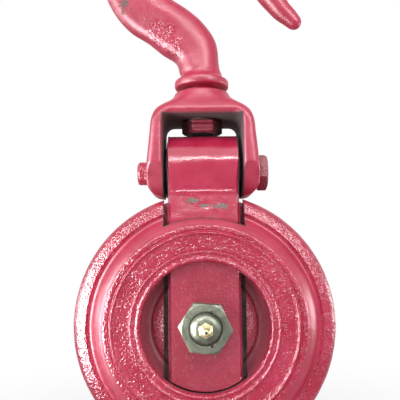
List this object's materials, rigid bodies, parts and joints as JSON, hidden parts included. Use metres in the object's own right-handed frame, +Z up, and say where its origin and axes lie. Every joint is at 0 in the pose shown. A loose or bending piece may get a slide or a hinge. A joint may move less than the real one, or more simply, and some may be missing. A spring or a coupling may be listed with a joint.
{
  "type": "swivel hook pulley block",
  "caption": "Single-sheave pulley block: forged swivel hook, pivoting yoke, bent strap and two round dished shells.",
  "frame": {"origin": "seat of the hook's bowl, where the block hangs", "axes": "+Z up along the hook's shank, X along the pivot bolt, -Y towards the grease fitting"},
  "size_m": [0.2088, 0.1206, 0.513],
  "materials": {
    "cast_enamel": "gloss enamel over rough casting",
    "forged_enamel": "gloss enamel over forging",
    "sheave_enamel": "enamel, groove rubbed bare",
    "zinc_steel": "zinc plated",
    "yellow_zinc": "yellow zinc plated",
    "steel": "ground steel",
    "bronze": "machined bronze"
  },
  "bodies": {
    "hook_body": {"hook": "forged_enamel", "hook_nut": "forged_enamel", "hook_nut_pin": "steel"},
    "yoke_body": {"yoke": "forged_enamel", "pivot_bolt": "forged_enamel", "swivel_thrust_washer": "bronze"},
    "frame_body": {"strap": "forged_enamel", "strap_spool": "steel", "front_shell": "cast_enamel", "rear_shell": "cast_enamel", "centre_bolt": "zinc_steel", "centre_nut": "zinc_steel", "centre_sleeve": "steel", "thrust_washer_front": "bronze", "thrust_washer_rear": "bronze", "fitting_body": "yellow_zinc", "fitting_ball": "steel", "fitting_spring": "steel"},
    "sheave_body": {"sheave": "sheave_enamel", "sheave_bushing": "bronze"}
  },
  "joints": [
    {"name": "hook_swivel", "type": "hinge", "parent": "hook_body", "child": "yoke_body", "pos_m": [0, 0, -0.195], "axis": [0, 0, 1], "continuous": true},
    {"name": "yoke_pivot", "type": "hinge", "parent": "yoke_body", "child": "frame_body", "pos_m": [0, 0, -0.238], "axis": [1, 0, 0], "range_deg": [-50, 50]},
    {"name": "sheave_spin", "type": "hinge", "parent": "frame_body", "child": "sheave_body", "pos_m": [0, 0, -0.362], "axis": [0, 1, 0], "continuous": true}
  ]
}
